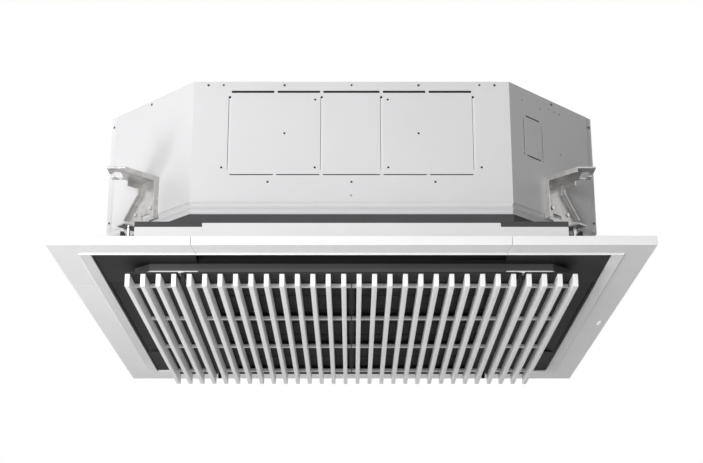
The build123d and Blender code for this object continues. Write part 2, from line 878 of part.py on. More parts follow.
def hanger_sheets():
    """Head, base plate on the chamfer, cheek, bent lips, neck lips and foot, in bracket axes."""
    top = hanger_level
    thick = hanger_sheet
    neck = (head_y - chamfer_middle) * math.sqrt(2) - hanger_near
    elbow = to_bracket(-head_back - hanger_far * math.sqrt(2), -head_back)[0]
    head = [(0, hanger_near), (neck, hanger_near), to_bracket(-head_x, -head_y),
            to_bracket(-head_x, -head_back), (elbow, -hanger_far), (0, -hanger_far)]
    plate = [(hanger_near, top), (-hanger_far, top), (-hanger_far, plate_shoulder),
             (-plate_spread, plate_knee), (-plate_toe, plate_bottom + thick), (-plate_toe, plate_bottom),
             (hanger_near, plate_bottom)]
    shape = prism(head, top - thick, top)
    shape += extrude(Plane.YZ * make_face(Polyline(*plate, close=True)), amount=thick)
    shape += block(0, thick, -foot_half_width, foot_half_width, foot_level, plate_bottom)
    shape += block(0, foot_reach, -foot_half_width, foot_half_width, foot_level, foot_level + thick)
    shape += block(0, cheek_depth, hanger_near - thick, hanger_near, plate_bottom, top)
    shape += block(0, neck, hanger_near - thick, hanger_near, top - thick - lip_drop_near, top)
    shape += block(0, lip_far_length, -hanger_far, -hanger_far + thick, top - thick - lip_drop_far, top)
    shape += block(0, cheek_depth, -hanger_far, -hanger_far + thick, plate_shoulder - thick, top)
    run = math.hypot(plate_spread - hanger_far, plate_shoulder - plate_knee)
    shift_y = thick * (plate_shoulder - plate_knee) / run
    shift_z = thick * (plate_spread - hanger_far) / run
    lip = [(-hanger_far, plate_shoulder), (-plate_spread, plate_knee),
           (-plate_spread + shift_y, plate_knee - shift_z),
           (-hanger_far + shift_y, plate_shoulder - shift_z)]
    shape += extrude(Plane.YZ * make_face(Polyline(*lip, close=True)), amount=cheek_depth)
    slot = block(0, thick, -hanger_slot_length / 2, hanger_slot_length / 2,
                 plate_bottom + hanger_slot_height, plate_bottom + 2 * hanger_slot_height)
    return shape - slot


def hanger_screws():
    heads = []
    for y, z in hanger_screws_at:
        head = Pos(hanger_sheet, y, z) * stud(hanger_screw_radius, hanger_screw_head)
        heads.append(bracket_place(head))
    return [copy for head in heads for copy in corners(head).values()]


# ---------------------------------------------------------------- pan, coil and services
def drain_pan():
    """Foam pan under the coil, with its trough, four air channels and the fan opening."""
    inset = casing_wall + swage_depth
    pan = prism(octagon(body_half, body_chamfer, inset), casing_z, pan_top)
    wide = 2 * (coil_half + coil_clearance)
    narrow = 2 * (coil_half - coil_depth - coil_clearance)
    trough = RectangleRounded(wide, wide, coil_corner)
    trough -= RectangleRounded(narrow, narrow, coil_corner - coil_depth + coil_clearance)
    pan -= Pos(0, 0, coil_z) * extrude(trough, amount=pan_top - coil_z)
    reach = body_half - body_chamfer - channel_setback
    channel = block(-reach, reach,
                    -outlet_out + channel_margin, -outlet_in - channel_margin, casing_z, pan_top)
    for part in four(channel):
        pan -= part
    return pan - rod(pan_opening_radius, casing_z, pan_top)


def body_gasket():
    """Dark foam strips under the body, and one from each outlet collar up to the pan."""
    ring = prism(octagon(body_half, body_chamfer), duct_height, casing_z)
    ring -= prism(octagon(body_half, body_chamfer, gasket_width), duct_height, casing_z)
    straight = body_half - body_chamfer
    side = ring & block(-straight, straight, -body_half, -straight, duct_height, casing_z)
    collar_half = outlet_half + collar_wall
    rail = block(-collar_half, collar_half, -outlet_in, -outlet_in + gasket_width,
                 tray_z + collar_height, casing_z)
    slant = ring & prism([(-straight, -body_half), (-body_half, -straight), (-straight, -straight)],
                         duct_height, casing_z)
    return group(four(side) + four(slant) + four(rail))


def coil():
    """Finned slab bent round the fan, open at the rear right corner."""
    half = coil_half
    outer = RectangleRounded(2 * half, 2 * half, coil_corner)
    inner = RectangleRounded(2 * (half - coil_depth), 2 * (half - coil_depth), coil_corner - coil_depth)
    slab = Pos(0, 0, coil_z) * extrude(outer - inner, amount=liner_z - coil_z)
    return slab - block(coil_gap_at, half, coil_gap_at, half, coil_z, liner_z)


def coil_tubes():
    """Return bends on one end of the coil, bent in short chords, and the header on the other end."""
    pitch = (liner_z - coil_z) / (tube_pairs + 1)
    middle = coil_half - coil_depth / 2
    bends = []
    for k in range(1, tube_pairs + 1):
        z = coil_z + k * pitch
        r = tube_bend_radius
        corners_at = [(0, -r), (r / 2, -r), (r, -r / 2), (r, r / 2), (r / 2, r), (0, r)]
        path = [(coil_gap_at + run, middle, z + rise) for run, rise in corners_at]
        section = Plane(origin=path[0], z_dir=(1, 0, 0)) * RegularPolygon(tube_radius, 6)
        bends.append(sweep(section, path=Polyline(*path), transition=Transition.RIGHT))
    end = coil_gap_at + header_radius
    header = rod(header_radius, coil_z + pitch / 2, liner_z - pitch / 2, middle, end)
    return group(bends + [header])


def bell_mouth():
    """Square plate under the pan, flaring up into the fan's inlet."""
    low = casing_z - bell_sheet
    plate = square(bell_half, low, casing_z) - rod(bell_mouth_radius, low, casing_z)
    knee = bell_throat_radius + bell_flare / 4
    bend = casing_z + bell_height / 2
    top = casing_z + bell_height
    profile = [
        (bell_mouth_radius, low), (bell_mouth_radius, casing_z), (knee + bell_sheet, bend),
        (bell_throat_radius + bell_sheet, top), (bell_throat_radius, top), (knee, bend),
        (bell_mouth_radius - bell_sheet, low),
    ]
    return plate + revolved(profile)


def revolved(profile):
    return revolve(Plane.XZ * make_face(Polyline(*profile, close=True)), Axis.Z)


def fan():
    """Turbo fan: dished back plate, backward blades, shroud with its inlet."""
    top = fan_bottom + fan_height
    dish = dish_z
    bore = shaft_radius + press
    slope = hub_radius + hub_drop / 3
    hub = revolved([
        (bore, dish), (hub_radius, dish), (slope, top - fan_sheet), (fan_radius, top - fan_sheet),
        (fan_radius, top), (slope - fan_sheet, top), (hub_radius - fan_sheet, dish + fan_sheet),
        (bore, dish + fan_sheet),
    ])
    shroud_top = fan_bottom + fan_shroud_height
    bend = fan_bottom + fan_shroud_height / 2
    bend_radius = fan_inlet_radius + 3 * fan_sheet
    shroud = revolved([
        (fan_inlet_radius, fan_bottom), (fan_inlet_radius + fan_sheet, fan_bottom), (bend_radius, bend),
        (fan_radius, shroud_top - fan_sheet), (fan_radius, shroud_top),
        (bend_radius - fan_sheet, bend + fan_sheet),
    ])
    blades = blade_set() & revolved([
        (blade_inner, top - fan_sheet / 2), (blade_inner, bend), (bend_radius, bend + fan_sheet / 2),
        (fan_radius - fan_sheet, shroud_top - fan_sheet / 2), (fan_radius - fan_sheet, top - fan_sheet / 2),
    ])
    return hub + shroud + blades


def blade_set():
    """Backward-curved blades as upright arcs, one per even turn."""
    top = fan_bottom + fan_height
    middle = (blade_inner + fan_radius) / 2
    centre_y = blade_arc_radius * 2 / 3
    arc = rod(blade_arc_radius, fan_bottom, top, middle, centre_y)
    arc -= rod(blade_arc_radius - blade_thickness, fan_bottom, top, middle, centre_y)
    half = prism([(0, 0), (fan_radius * 2, -fan_radius), (fan_radius * 2, middle / 4)], fan_bottom, top)
    one = arc & half
    shape = one
    for k in range(1, fan_blades):
        shape += Rot(0, 0, 360 * k / fan_blades) * one
    return shape


def shaft():
    """Motor shaft with the nut that holds the fan."""
    low = dish_z - nut_height
    nut = Pos(0, 0, low) * extrude(RegularPolygon(nut_radius, 6), amount=nut_height)
    return nut + rod(shaft_radius, low - nut_height / 2, motor_z + motor_height / 3)


def motor():
    """Fan motor can with three feet round its top and the bearing bore of the shaft."""
    can = rod(motor_radius, motor_z, bush_z)
    can = chamfer(can.edges().sort_by(Axis.Z)[0], bush_radius)
    foot_z = bush_z - hanger_sheet
    reach = bush_at() + bush_radius
    foot = block(-reach, reach, -bush_radius, bush_radius, foot_z, foot_z + hanger_sheet)
    can += foot + turned(foot, 1)
    return can - rod(shaft_radius + running, motor_z, motor_z + motor_height / 3 + fit)


def bush_at():
    return mount_size / 2 - bush_radius - hanger_sheet - fit


def motor_bushes():
    return group(four(peg(bush_radius, bush_z, bush_z + bush_height, bush_at(), 0)))


def motor_mount():
    """Pressed plate over the rubber bushes, its four legs up to the lid."""
    low = bush_z + bush_height
    half = mount_size / 2
    plate = square(half, low, low + hanger_sheet) - rod(motor_radius / 2, low, low + hanger_sheet)
    leg = block(-mount_leg, mount_leg, -half, -half + hanger_sheet, low, lid_z)
    pad = block(-mount_leg, mount_leg, -half, -half + 6 * hanger_sheet, lid_z - hanger_sheet, lid_z)
    for part in four(leg) + four(pad):
        plate += part
    return plate


def control_box():
    x0 = control_from
    shell = block(x0, x0 + control_width, -control_length / 2, control_length / 2,
                  casing_z - bell_sheet - control_height, casing_z - bell_sheet)
    inside = block(x0 + control_wall, x0 + control_width - control_wall, -control_length / 2 + control_wall,
                   control_length / 2 - control_wall, casing_z - bell_sheet - control_height,
                   casing_z - bell_sheet - control_wall)
    return shell - inside


def control_lid():
    x0 = control_from
    low = casing_z - bell_sheet - control_height
    lid = block(x0, x0 + control_width, -control_length / 2, control_length / 2, low - control_wall, low)
    tongue = -control_length / 2 + control_wall + fit
    return lid + block(x0 + control_wall + fit, x0 + control_width - control_wall - fit,
                       tongue, tongue + 2 * control_wall, low, low + 4 * control_wall)


def terminal_block():
    """Row of screw terminals on the roof of the control box."""
    x0 = control_from + control_width / 2
    top = casing_z - bell_sheet - control_wall
    half = terminal_width / 2
    reach = control_length / 4
    low = top - terminal_height
    base = block(x0 - half, x0 + half, -reach, reach, low, top)
    for k in range(terminal_count + 1):
        y = -reach + k * 2 * reach / terminal_count
        base += block(x0 - half, x0 + half, y - control_wall, y + control_wall, low - 4 * control_wall, low)
    return base


def rear_pipe(radius, at):
    """Copper pipe from the coil out through the rear face, with its grommet and flare nut."""
    x = at[0]
    z = casing_z + at[1]
    end = body_half + stub_length
    pipe = rod_y(radius, coil_half, end, x, z)
    pipe += peg_y(radius + pipe_collar, body_half, body_half + hanger_sheet, x, z)
    start = body_half + hanger_sheet + fit
    nut = Plane(origin=(x, start, z), x_dir=(1, 0, 0), z_dir=(0, 1, 0)) * extrude(
        RegularPolygon(radius * nut_ratio, 6), amount=radius * 2)
    return pipe + nut - rod_y(radius - pipe_bore, coil_half, end, x, z)


def drain_pipe():
    """Drain socket: up from the pump, then out through the rear face."""
    x = drain_at[0]
    z = casing_z + drain_at[1]
    end = body_half + stub_length
    elbow = drain_radius + pipe_bore
    shape = rod(elbow, pan_top + pump_height, z + elbow, x, pump_at)
    shape += rod_y(drain_radius, pump_at, end, x, z)
    shape += peg_y(drain_radius + pipe_collar, body_half, body_half + hanger_sheet, x, z)
    return shape - rod_y(drain_radius - 2 * pipe_bore, body_half, end, x, z)


def pump():
    """Drain pump on the pan, with the arm and stem of the water level float in the trough."""
    house = rod(pump_radius, pan_top, pan_top + pump_height / 3, pump_at, pump_at)
    can = rod(pump_can_radius, pan_top + pump_height / 3, pan_top + pump_height, pump_at, pump_at)
    arm = block(pump_at, float_x() + 2 * float_stem, pump_at - 2 * float_stem, pump_at + 2 * float_stem,
                pan_top, pan_top + float_stem)
    foot = peg(float_radius, coil_z, coil_z + float_stem, float_x(), pump_at)
    return house + can + arm + foot + rod(float_stem, coil_z, pan_top, float_x(), pump_at)


def float_x():
    return coil_half - coil_depth / 2


def drain_float():
    """Ring float that rises on its stem when the trough fills."""
    low = coil_z + float_stem + fit
    body = rod(float_radius, low, low + float_height, float_x(), pump_at)
    return body - rod(float_stem + running, low, low + float_height, float_x(), pump_at)


def rear_holes():
    """Round holes of the rear sheet, and the many-sided ones of its lining."""
    sheet, lining = [], []
    for radius, at in ((gas_radius, gas_at), (liquid_radius, liquid_at), (drain_radius, drain_at)):
        span = (coil_half, body_half, at[0], casing_z + at[1])
        sheet.append(rod_y(radius + fit, *span))
        lining.append(peg_y(round_fit(radius + fit), *span))
    return sheet, lining


# ---------------------------------------------------------------- the assembly
def main():
    os.makedirs("parts", exist_ok=True)
    side = trim_side()
    strip = trim_strip(side)
    for quarter, name in enumerate(side_names):
        piece = turned(strip, quarter)
        if name == "right":
            piece -= indicator_cut(fit)
        save("trim_" + name, piece)
    for name, piece in corners(corner_cover(side)).items():
        save("corner_cover_" + name, piece)
    save("indicator_lens", indicator_cut(0))
    save("panel_tray", panel_tray())
    save("intake_drum", intake_drum())
    save("intake_ring", intake_ring())
    save("duct_block", duct_block())
    save("panel_seal", panel_seal())
    save("panel_bolts", group(corners(panel_bolt()).values()))
    blade = vane()
    for quarter, name in enumerate(side_names):
        save("vane_" + name, opened(blade) if name == "front" else turned(blade, quarter))
    save("vane_motors", group(four(vane_motor())))

    left_wing = wing_plate()
    save("wing_plate_left", left_wing)
    save("wing_plate_right", mirror(left_wing, Plane.YZ))
    left_slats = slats(0, wing_slats - 1, 0, 0)
    save("wing_slats_left", left_slats)
    save("wing_slats_right", mirror(left_slats, Plane.YZ))
    left_slats = slats(wing_slats, slat_count // 2 - 1, rail_stub, rail_overhang())
    save("grille_slats_left", left_slats)
    save("grille_slats_right", mirror(left_slats, Plane.YZ))
    save("grille_frame", grille_frame())
    save("air_filter", air_filter())
    catch = latch()
    save("latch_right", catch)
    save("latch_left", mirror(catch, Plane.YZ))
    right_block = hinge_block()
    save("hinge_blocks", group([right_block, mirror(right_block, Plane.YZ)]))

    holes, lining_holes = rear_holes()
    for name, sheet in casing_sheets().items():
        if name == "front":
            for cut in front_knockouts() + chamfer_knockout():
                sheet -= cut
        if name == "rear":
            for hole in holes:
                sheet -= hole
        save("casing_" + name, sheet)
    save("casing_lid", casing_lid())
    lining = liner()
    for hole in lining_holes:
        lining -= hole
    save("casing_liner", lining)
    for name, piece in corners(hanger()).items():
        save("hanger_" + name, piece)
    save("body_screws", group(seam_screws() + hanger_screws()))

    save("drain_pan", drain_pan())
    save("body_gasket", body_gasket())
    save("coil_fins", coil())
    save("coil_tubes", coil_tubes())
    save("bell_mouth", bell_mouth())
    save("fan", fan())
    save("fan_shaft", shaft())
    save("fan_motor", motor())
    save("motor_bushes", motor_bushes())
    save("motor_mount", motor_mount())
    save("control_box", control_box())
    save("control_lid", control_lid())
    save("terminal_block", terminal_block())
    save("gas_pipe", rear_pipe(gas_radius, gas_at))
    save("liquid_pipe", rear_pipe(liquid_radius, liquid_at))
    save("drain_outlet", drain_pipe())
    save("drain_pump", pump())
    save("drain_float", drain_float())


main()
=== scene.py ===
# %% [markdown]
# A ceiling cassette air conditioner, seen from just below the ceiling line. The sheet metal body hangs on
# four bent brackets, and under it sits a square white panel with a slatted intake grille.
# The solid model is loaded as a fixed frame. This lesson gives it a camera, light and finishes, and
# models again the pieces whose edges, slats or pressed lines the solids leave plain.

# %% Load the solid model and count its pieces
import math

import bpy
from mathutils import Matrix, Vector


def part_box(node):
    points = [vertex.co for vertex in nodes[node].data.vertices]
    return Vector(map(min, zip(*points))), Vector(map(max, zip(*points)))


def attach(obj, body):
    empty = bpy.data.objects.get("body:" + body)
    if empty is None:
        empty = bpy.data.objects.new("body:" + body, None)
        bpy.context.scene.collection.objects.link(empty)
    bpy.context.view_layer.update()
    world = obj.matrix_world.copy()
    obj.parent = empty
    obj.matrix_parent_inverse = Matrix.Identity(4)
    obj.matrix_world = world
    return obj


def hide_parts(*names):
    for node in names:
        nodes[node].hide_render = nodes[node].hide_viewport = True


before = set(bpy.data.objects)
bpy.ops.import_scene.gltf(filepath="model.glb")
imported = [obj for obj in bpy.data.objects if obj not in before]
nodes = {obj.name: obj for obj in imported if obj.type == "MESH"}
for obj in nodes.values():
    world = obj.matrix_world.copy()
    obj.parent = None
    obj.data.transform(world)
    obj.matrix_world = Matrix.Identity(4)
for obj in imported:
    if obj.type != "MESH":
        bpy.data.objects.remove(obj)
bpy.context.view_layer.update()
mm = 0.001
mm_per_metre = 1000.0
print("pieces loaded:", len(nodes))

# %% [markdown]
# The picture was taken with a fairly long lens, 0.7 m below the ceiling and 2.6 m in front of the middle of
# the unit, tilted up by 18 degrees. A camera is a plain object, so it is added and turned where it stands.

# %% Camera
camera_place = (0, -2.5966, -0.6976)
camera_tilt = 90 + 18.37
bpy.ops.object.select_all(action="DESELECT")
bpy.ops.object.camera_add(location=camera_place, rotation=(math.radians(camera_tilt), 0, 0))
camera = bpy.context.object
camera.name = "camera"
camera.data.lens = 73.6
camera.data.sensor_width = 36.0
bpy.context.scene.camera = camera
print("camera lens:", camera.data.lens, "mm")

# %% [markdown]
# The studio is a pale floor and a white surround. The surround has two strengths: what the camera and
# shiny metal see is pure white, and what lights the object is weaker, so the shaded sides keep their grey.
# Light Path tells the two apart.

# %% Surround
world = bpy.data.worlds.new("white_surround")
bpy.context.scene.world = world
world.use_nodes = True
tree = world.node_tree
ambient = 0.15
back = tree.nodes["Background"]
back.inputs["Color"].default_value = (1, 1, 1, 1)
path = tree.nodes.new("ShaderNodeLightPath")


def larger(tree, first, second):
    """The larger of two values."""
    node = tree.nodes.new("ShaderNodeMath")
    node.operation = "MAXIMUM"
    tree.links.new(first, node.inputs[0])
    tree.links.new(second, node.inputs[1])
    return node.outputs[0]


seen = larger(tree, path.outputs["Is Camera Ray"], path.outputs["Is Glossy Ray"])
seen = larger(tree, seen, path.outputs["Is Transmission Ray"])
level = tree.nodes.new("ShaderNodeMapRange")
level.inputs["To Min"].default_value = ambient
level.inputs["To Max"].default_value = 1.0
tree.links.new(seen, level.inputs["Value"])
tree.links.new(level.outputs["Result"], back.inputs["Strength"])
bpy.context.scene.view_settings.view_transform = "Standard"
print("surround strength on the object:", ambient)

# %% Floor
floor_level = -1.5
floor_size = 14
bpy.ops.object.select_all(action="DESELECT")
bpy.ops.mesh.primitive_plane_add(size=floor_size, location=(0, 0, floor_level))
floor = bpy.context.object
floor.name = "floor"
pale = bpy.data.materials.new("pale_floor")
pale.use_nodes = True
pale_shader = pale.node_tree.nodes["Principled BSDF"]
pale_shader.inputs["Base Color"].default_value = (0.82, 0.82, 0.82, 1)
pale_shader.inputs["Roughness"].default_value = 0.9
floor.data.materials.append(pale)
print("floor at", floor.location.z, "m")

# %% [markdown]
# Two soft boxes do most of the work. The key stands in front, 22 degrees to the left and level with the
# panel, so the right chamfer falls dark and the ends of the slats are white. The low one shines up from the
# left: it lifts the underside, gives each slat a light flank and a dark one, and fades down the front of the
# body, because the panel stands in its way. The third picks out the back edges.
# A lamp shines along its own -Z, so it is turned to look at the object.


# %% Lamps
def soft_box(name, place, size, watts, target=(0, 0, 0.08)):
    """A round area lamp, size across in metres, that looks at the target."""
    bpy.ops.object.select_all(action="DESELECT")
    bpy.ops.object.light_add(type="AREA", location=place)
    lamp = bpy.context.object
    lamp.name = name
    lamp.data.shape = "DISK"
    lamp.data.size = size
    lamp.data.energy = watts
    aim = Vector(target) - Vector(place)
    lamp.rotation_euler = aim.to_track_quat("-Z", "Y").to_euler()
    return lamp


key = soft_box("key", (-1.24, -3.06, -0.2), 1.3, 86)
low_lamp = soft_box("low", (-1.6, -0.8, -1.3), 1.2, 31)
rim = soft_box("rim", (1.6, 2.6, 1.4), 1.6, 40)
print("lamps, in watts:", [lamp.data.energy for lamp in (key, low_lamp, rim)])

# %% [markdown]
# Most finishes here are moulded plastic, foam or coated sheet. All need the same thing: a colour that varies
# a little, a gloss that varies a little and a fine grain. One helper builds that from two noises read on
# Object coordinates, so the pattern keeps its real size on every piece.

# %% Finish helper
ramp_ends = (0.35, 0.65)
gloss_play = 0.07
grain_height = 0.1 * mm


def finish(name, colour, gloss, grain=1.2, spread=0.02, relief=0.05, metal=0.0, coat=0.0, cloud=60.0,
           shine=0.5):
    """A material; grain and cloud are the sizes of its fine and broad patterns, in mm."""
    mat = bpy.data.materials.new(name)
    mat.use_nodes = True
    tree = mat.node_tree
    shader = tree.nodes["Principled BSDF"]
    shader.inputs["Metallic"].default_value = metal
    shader.inputs["Coat Weight"].default_value = coat
    shader.inputs["Specular IOR Level"].default_value = shine
    place = tree.nodes.new("ShaderNodeTexCoord").outputs["Object"]

    fine = tree.nodes.new("ShaderNodeTexNoise")
    fine.inputs["Scale"].default_value = mm_per_metre / grain
    fine.inputs["Detail"].default_value = 3.0
    broad = tree.nodes.new("ShaderNodeTexNoise")
    broad.inputs["Scale"].default_value = mm_per_metre / cloud
    broad.inputs["Detail"].default_value = 4.0
    for noise in (fine, broad):
        tree.links.new(place, noise.inputs["Vector"])

    ramp = tree.nodes.new("ShaderNodeValToRGB")
    for stop, end, share in zip(ramp.color_ramp.elements, ramp_ends, (1 - spread, 1 + spread)):
        stop.color = [min(1.0, part * share) for part in colour] + [1]
        stop.position = end
    tree.links.new(broad.outputs["Fac"], ramp.inputs["Fac"])
    tree.links.new(ramp.outputs["Color"], shader.inputs["Base Color"])

    rough = tree.nodes.new("ShaderNodeMapRange")
    rough.inputs["To Min"].default_value = max(0.0, gloss - gloss_play)
    rough.inputs["To Max"].default_value = min(1.0, gloss + gloss_play)
    tree.links.new(fine.outputs["Fac"], rough.inputs["Value"])
    tree.links.new(rough.outputs["Result"], shader.inputs["Roughness"])

    bump = tree.nodes.new("ShaderNodeBump")
    bump.inputs["Strength"].default_value = relief
    bump.inputs["Distance"].default_value = grain_height
    tree.links.new(fine.outputs["Fac"], bump.inputs["Height"])
    tree.links.new(bump.outputs["Normal"], shader.inputs["Normal"])
    return mat


def dress(material, *names):
    """Puts one material on carried-over pieces."""
    for name in names:
        nodes[name].data.materials.clear()
        nodes[name].data.materials.append(material)


# %% [markdown]
# The trim is smooth white moulded plastic with a soft sheen, and so are the slats. The tray, the drum and the
# plates behind the slats are near black, with a fine moulded grain so that they read as dark, not as holes.
# The drum wall is a shade lighter than the tray. The front vane has a finish of its own, because the light
# reaches it; the hinged frame behind the slats is the blackest of all.

# %% White and black plastics
trim_white = finish("trim_white", (0.77, 0.765, 0.775), 0.32, grain=0.6, spread=0.006, relief=0.03)
slat_white = finish("slat_white", (0.80, 0.798, 0.805), 0.42, grain=0.7, spread=0.008, relief=0.04)
ring_white = finish("ring_white", (0.95, 0.95, 0.95), 0.5, grain=0.8, relief=0.05)
tray_dark = finish("tray_dark", (0.0135, 0.0135, 0.0145), 0.55, grain=0.9, spread=0.08, relief=0.2,
                   shine=0.25)
drum_grey = finish("drum_grey", (0.062, 0.062, 0.065), 0.5, grain=0.9, spread=0.06, relief=0.2)
vane_black = finish("vane_black", (0.018, 0.018, 0.018), 0.6, grain=0.9, spread=0.08, relief=0.1, shine=0.2)
frame_dark = finish("frame_dark", (0.010, 0.010, 0.011), 0.55, grain=0.9, spread=0.08, relief=0.2,
                    shine=0.3)
dress(tray_dark, "wing_plate_left", "wing_plate_right", "vane_left", "vane_right", "vane_rear")
dress(frame_dark, "grille_frame", "air_filter")
dress(vane_black, "vane_front", "latch_left", "latch_right", "hinge_blocks")
print("plastics:", len(bpy.data.materials))

# %% [markdown]
# A small clear lens on the right strip carries the indicator lamps. It is polished, and a weak glow of its own
# stands for the light that comes through it from the white panel behind.

# %% Indicator lens
lens_glow = 0.4
lens_white = finish("lens_white", (0.97, 0.97, 0.98), 0.12, grain=0.8, spread=0.01, relief=0.0, coat=0.8)
lens_shader = lens_white.node_tree.nodes["Principled BSDF"]
lens_shader.inputs["Emission Color"].default_value = (1, 1, 1, 1)
lens_shader.inputs["Emission Strength"].default_value = lens_glow
dress(lens_white, "indicator_lens")
print("glow of the lens:", lens_glow)

# %% [markdown]
# The body is coated steel sheet: a satin off-white with the slightest orange peel. The brackets are bare
# galvanised sheet, which shows large pale crystals, or spangles. A Voronoi texture gives each crystal its
# own brightness. Weathered zinc is half mirror and half chalk, so the metal value stays below one.

# %% Sheet metal and galvanised steel
crystal_size = 9.0
sheet_satin = finish("sheet_satin", (0.60, 0.595, 0.605), 0.4, grain=1.6, spread=0.012, relief=0.05,
                     cloud=120)

galvanised = finish("galvanised", (0.62, 0.62, 0.61), 0.3, grain=2.0, spread=0.1, relief=0.06, metal=0.7)
tree = galvanised.node_tree
crystal = tree.nodes.new("ShaderNodeTexVoronoi")
crystal.inputs["Scale"].default_value = mm_per_metre / crystal_size
tree.links.new(tree.nodes["Texture Coordinate"].outputs["Object"], crystal.inputs["Vector"])
shade = tree.nodes.new("ShaderNodeValToRGB")
shade.color_ramp.elements[0].color = (0.47, 0.46, 0.45, 1)
shade.color_ramp.elements[1].color = (0.62, 0.61, 0.60, 1)
tree.links.new(crystal.outputs["Color"], shade.inputs["Fac"])
tree.links.new(shade.outputs["Color"], tree.nodes["Principled BSDF"].inputs["Base Color"])
dress(galvanised, "motor_mount", "control_box", "control_lid")

zinc = finish("zinc_plate", (0.66, 0.66, 0.65), 0.28, grain=0.8, spread=0.05, relief=0.05, metal=1.0)
screw_dark = finish("screw_dark", (0.06, 0.06, 0.065), 0.35, grain=0.6, spread=0.05, relief=0.05, metal=0.6)
dress(zinc, "fan_shaft")
print("crystals:", crystal_size, "mm")

# %% [markdown]
# White bead foam carries the air from the body to the panel. It is made of small beads pressed together, so
# its surface is a net of fine dents. The dark foam strips are cut from sheet and look dull and even. The lining
# inside the body is the dullest of all, and its colour is painted shade: near black, darker than the foam
# strips, so that the slots and cuts in the sheets read black.

# %% Foams and rubber
foam_white = finish("foam_white", (0.76, 0.755, 0.765), 0.75, grain=3.0, spread=0.012, relief=0.25)
foam_dark = finish("foam_dark", (0.060, 0.060, 0.063), 0.9, grain=0.8, spread=0.06, relief=0.5)
# The lining's near-black colour is painted shade, darker than the foam strips, so the slots and cuts in the
# sheets read black.
liner_painted_shade = finish("liner_painted_shade", (0.012, 0.012, 0.013), 0.95, grain=0.8, spread=0.06, relief=0.4,
                     shine=0.2)
rubber = finish("rubber", (0.03, 0.03, 0.03), 0.7, grain=1.0, spread=0.05, relief=0.2)
dress(foam_white, "drain_pan")
dress(foam_dark, "panel_seal", "body_gasket")
dress(liner_painted_shade, "casing_liner")
dress(rubber, "motor_bushes")
print("finishes so far:", len(bpy.data.materials))

# %% [markdown]
# Behind the grille the light hardly reaches, but the parts there still get their own finish: bare copper
# tubes, bright fins, a dark fan and grey fittings. The pipe ends at the back are the same copper.

# %% Inner parts and pipes
copper = finish("copper", (0.72, 0.36, 0.22), 0.3, grain=1.5, spread=0.06, relief=0.06, metal=1.0)
fins = finish("fin_sheet", (0.7, 0.71, 0.73), 0.35, grain=1.5, spread=0.05, relief=0.1, metal=1.0)
fan_grey = finish("fan_grey", (0.02, 0.02, 0.022), 0.5, grain=1.0, spread=0.05, relief=0.15)
inner_grey = finish("inner_grey", (0.45, 0.45, 0.45), 0.5, grain=1.0, spread=0.03, relief=0.1)
dress(copper, "gas_pipe", "liquid_pipe", "coil_tubes")
dress(fins, "coil_fins")
dress(fan_grey, "fan", "bell_mouth", "fan_motor")
dress(inner_grey, "vane_motors", "terminal_block", "drain_pump", "drain_outlet", "drain_float")
print("finishes:", len(bpy.data.materials))

# %% [markdown]
# Real mouldings and bent sheets have no knife edges: each edge is a small round that catches a line of light.
# A solid's mesh is loose triangles, so a copy is merged and its flat triangles are joined first. A Bevel
# modifier then rounds every sharp edge, and Weighted Normal keeps the big faces flat in the shading.

# %% Rounding helper
merge_gap = 0.01 * mm
flat_angle = math.radians(0.6)
sharp_angle = math.radians(28)


def smoothed(piece, crease=40):
    """Smooth shading up to an angle, with the large faces kept flat."""
    bpy.ops.object.shade_smooth_by_angle(angle=math.radians(crease))
    even = piece.modifiers.new("even", "WEIGHTED_NORMAL")
    even.keep_sharp = True
    bpy.ops.object.modifier_apply(modifier="even")


def rounded(node, material, width, segments=2, crease=40):
    """A merged copy of a fixed solid with small rounds, width in mm, which stands for the solid."""
    piece = bpy.data.objects.new(node + "_rounded", nodes[node].data.copy())
    bpy.context.scene.collection.objects.link(piece)
    bpy.ops.object.select_all(action="DESELECT")
    piece.select_set(True)
    bpy.context.view_layer.objects.active = piece
    bpy.ops.object.mode_set(mode="EDIT")
    bpy.ops.mesh.select_all(action="SELECT")
    bpy.ops.mesh.remove_doubles(threshold=merge_gap)
    bpy.ops.mesh.dissolve_limited(angle_limit=flat_angle)
    bpy.ops.object.mode_set(mode="OBJECT")
    if width:
        edge = piece.modifiers.new("edge", "BEVEL")
        edge.width = width * mm
        edge.segments = segments
        edge.limit_method = "ANGLE"
        edge.angle_limit = sharp_angle
        edge.use_clamp_overlap = False
        bpy.ops.object.modifier_apply(modifier="edge")
    smoothed(piece, crease)
    piece.data.materials.clear()
    piece.data.materials.append(material)
    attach(piece, "housing")
    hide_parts(node)
    return piece


# %% [markdown]
# The white panel is moulded in eight pieces: four strips, and four corner covers that snap on over the screws.
# Rounding each one by itself leaves a fine V where two meet, as on the real panel.

# %% White trim
trim_edge = 0.5
corners = ["front_left", "front_right", "rear_left", "rear_right"]
trims = ["trim_" + side for side in ("front", "right", "rear", "left")]
trims += ["corner_cover_" + corner for corner in corners]
for name in trims:
    rounded(name, trim_white, trim_edge)
print("trim pieces:", len(trims))

# %% [markdown]
# The slats are hollow mouldings about 8 mm wide. Their long lower edges are well rounded, which gives each
# slat a bright line on one side and a soft shadow on the other. One slat and one cross rail are modelled from
# a box, and an Array modifier repeats each at its pitch, because every slat comes out of the same tool.


# %% Box, repeat and join helpers
def box_piece(name, low, high, soft, segments=2):
    """A box between two corners, in metres, with its edges rounded by soft, in mm."""
    bpy.ops.object.select_all(action="DESELECT")
    middle = [(a + b) / 2 for a, b in zip(low, high)]
    bpy.ops.mesh.primitive_cube_add(size=1, location=middle)
    piece = bpy.context.object
    piece.name = name
    piece.scale = [b - a for a, b in zip(low, high)]
    bpy.ops.object.transform_apply(location=True, rotation=False, scale=True)
    edge = piece.modifiers.new("edge", "BEVEL")
    edge.width = soft * mm
    edge.segments = segments
    bpy.ops.object.modifier_apply(modifier="edge")
    return piece


